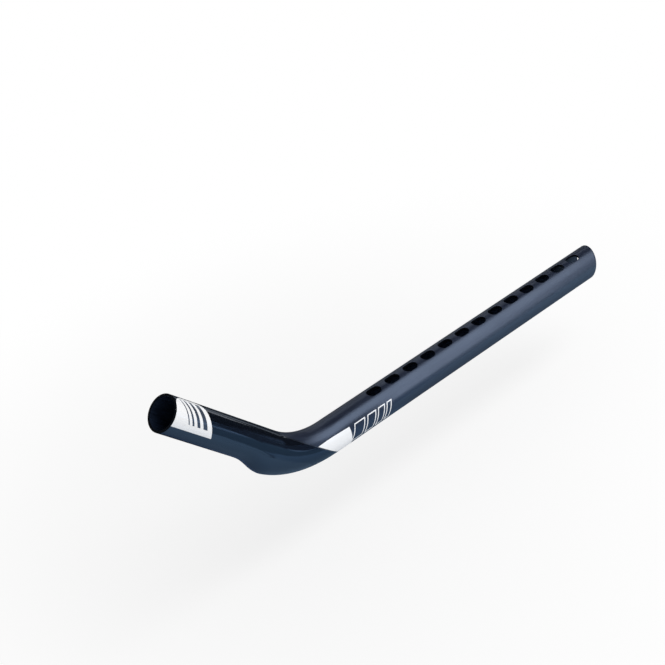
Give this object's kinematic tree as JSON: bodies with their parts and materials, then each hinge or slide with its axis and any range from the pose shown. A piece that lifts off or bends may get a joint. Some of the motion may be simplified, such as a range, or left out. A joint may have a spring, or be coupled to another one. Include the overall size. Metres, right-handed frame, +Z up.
{
  "type": "aero handlebar extension",
  "caption": "Hollow carbon handlebar extension: a round tube with a row of cable slots, bent up into a grip with a palm heel under the bend and an open tip for a bar-end control.",
  "frame": {"origin": "on the tube's axis at the rear end, where the full round of the slanted end begins", "axes": "+X forward along the straight tube, +Y to the rider's left (outer side), +Z up; the bend lies in XZ"},
  "size_m": [0.3683, 0.0222, 0.0981],
  "materials": {
    "carbon": "satin carbon-fibre laminate, with gloss lacquer on the outer side of the grip"
  },
  "bodies": {
    "root": {"extension_tube": "carbon"}
  },
  "joints": []
}
